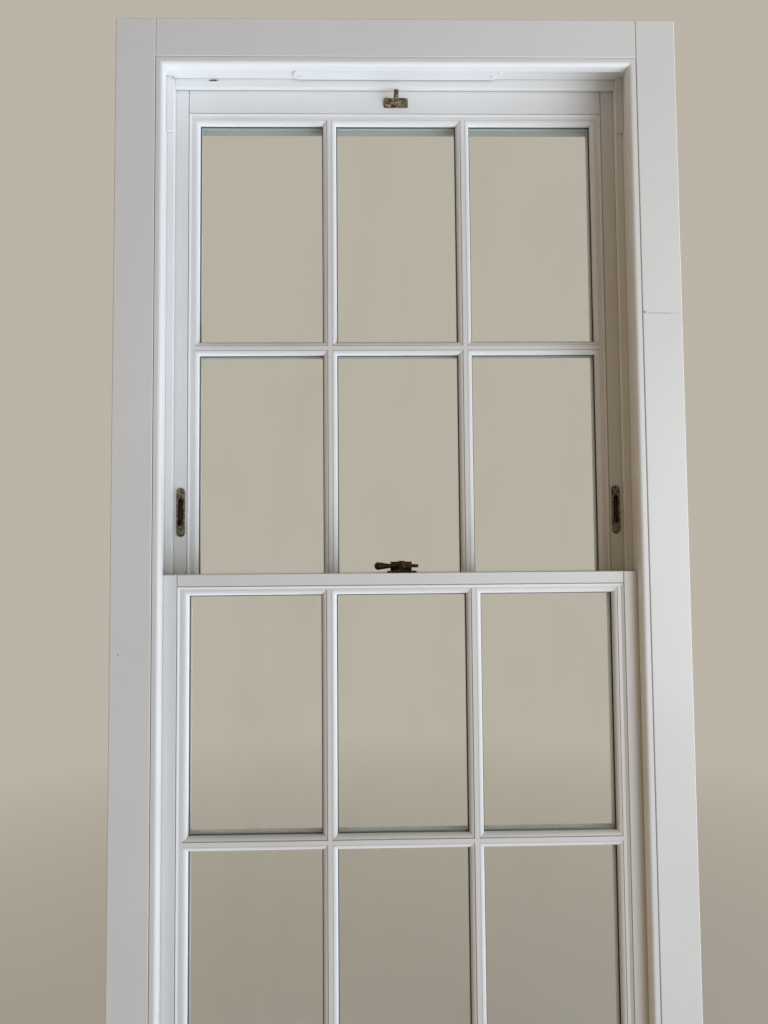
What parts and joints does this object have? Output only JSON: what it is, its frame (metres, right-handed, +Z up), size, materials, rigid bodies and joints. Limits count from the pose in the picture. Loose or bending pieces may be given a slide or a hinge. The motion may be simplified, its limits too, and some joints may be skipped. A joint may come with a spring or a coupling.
{
  "type": "sliding sash window",
  "caption": "Timber box sash window with frame: two sliding glazed sashes with glazing bars, sash fastener, pole hook and sash stops.",
  "frame": {"origin": "middle of the window's width and depth, on the underside of the sill", "axes": "+X to the right seen from the room, +Y outdoors, +Z up"},
  "size_m": [0.87, 0.17, 1.79],
  "materials": {
    "painted_timber": "satin white paint",
    "sill_timber": "satin white paint on hardwood",
    "glass": "clear float glass",
    "spacer": "mill",
    "brush_pile": "woven pile",
    "balance_tube": "matt",
    "balance_steel": "zinc plated",
    "vent_metal": "satin white paint",
    "antique_brass": "antique, waxed"
  },
  "bodies": {
    "frame": {"back_lining_left": "painted_timber", "back_lining_right": "painted_timber", "balance_tubes": "balance_tube", "brush_strips": "brush_pile", "head_board": "painted_timber", "head_lining": "painted_timber", "jamb_left": "painted_timber", "jamb_right": "painted_timber", "outer_head_lining": "painted_timber", "outer_lining_left": "painted_timber", "outer_lining_right": "painted_timber", "parting_bead_head": "painted_timber", "parting_bead_left": "painted_timber", "parting_bead_right": "painted_timber", "side_lining_left": "painted_timber", "side_lining_right": "painted_timber", "sill": "sill_timber", "staff_bead_head": "painted_timber", "staff_bead_left": "painted_timber", "staff_bead_right": "painted_timber", "staff_bead_sill": "painted_timber", "stop_block_left": "painted_timber", "stop_block_right": "painted_timber", "vent_cover": "vent_metal"},
    "lower_sash": {"fastener_base": "antique_brass", "fastener_pin": "antique_brass", "fastener_screws": "antique_brass", "lower_sash_balance_rods": "balance_steel", "lower_sash_bar_left": "painted_timber", "lower_sash_bar_right": "painted_timber", "lower_sash_cross_bars": "painted_timber", "lower_sash_glazing_beads": "painted_timber", "lower_sash_high_rail": "painted_timber", "lower_sash_low_rail": "painted_timber", "lower_sash_panes": "glass", "lower_sash_spacer_frames": "spacer", "lower_sash_stile_left": "painted_timber", "lower_sash_stile_right": "painted_timber"},
    "top_sash": {"fastener_keep": "antique_brass", "pole_hook": "antique_brass", "sash_stop_pins": "antique_brass", "sash_stop_plate_left": "antique_brass", "sash_stop_plate_right": "antique_brass", "top_sash_balance_rods": "balance_steel", "top_sash_bar_left": "painted_timber", "top_sash_bar_right": "painted_timber", "top_sash_cross_bars": "painted_timber", "top_sash_glazing_beads": "painted_timber", "top_sash_high_rail": "painted_timber", "top_sash_low_rail": "painted_timber", "top_sash_panes": "glass", "top_sash_screws": "antique_brass", "top_sash_spacer_frames": "spacer", "top_sash_stile_left": "painted_timber", "top_sash_stile_right": "painted_timber"},
    "fastener_cam": {"fastener_cam": "antique_brass"},
    "stop_tongue_left": {"sash_stop_tongue_left": "antique_brass"},
    "stop_tongue_right": {"sash_stop_tongue_right": "antique_brass"}
  },
  "joints": [
    {"name": "lower_sash_slide", "type": "slide", "parent": "frame", "child": "lower_sash", "axis": [0, 0, 1], "range_m": [0, 0.715]},
    {"name": "top_sash_slide", "type": "slide", "parent": "frame", "child": "top_sash", "axis": [0, 0, -1], "range_m": [0, 0.69]},
    {"name": "fastener_turn", "type": "hinge", "parent": "lower_sash", "child": "fastener_cam", "pos_m": [0.002, -0.032, 0.9383], "axis": [0, 0, 1], "range_deg": [0, 90]},
    {"name": "stop_tongue_left_turn", "type": "hinge", "parent": "top_sash", "child": "stop_tongue_left", "pos_m": [-0.3501, -0.004, 1.0422], "axis": [1, 0, 0], "range_deg": [-9.5, 8.5]},
    {"name": "stop_tongue_right_turn", "type": "hinge", "parent": "top_sash", "child": "stop_tongue_right", "pos_m": [0.3501, -0.004, 1.0422], "axis": [1, 0, 0], "range_deg": [-9.5, 8.5]}
  ]
}
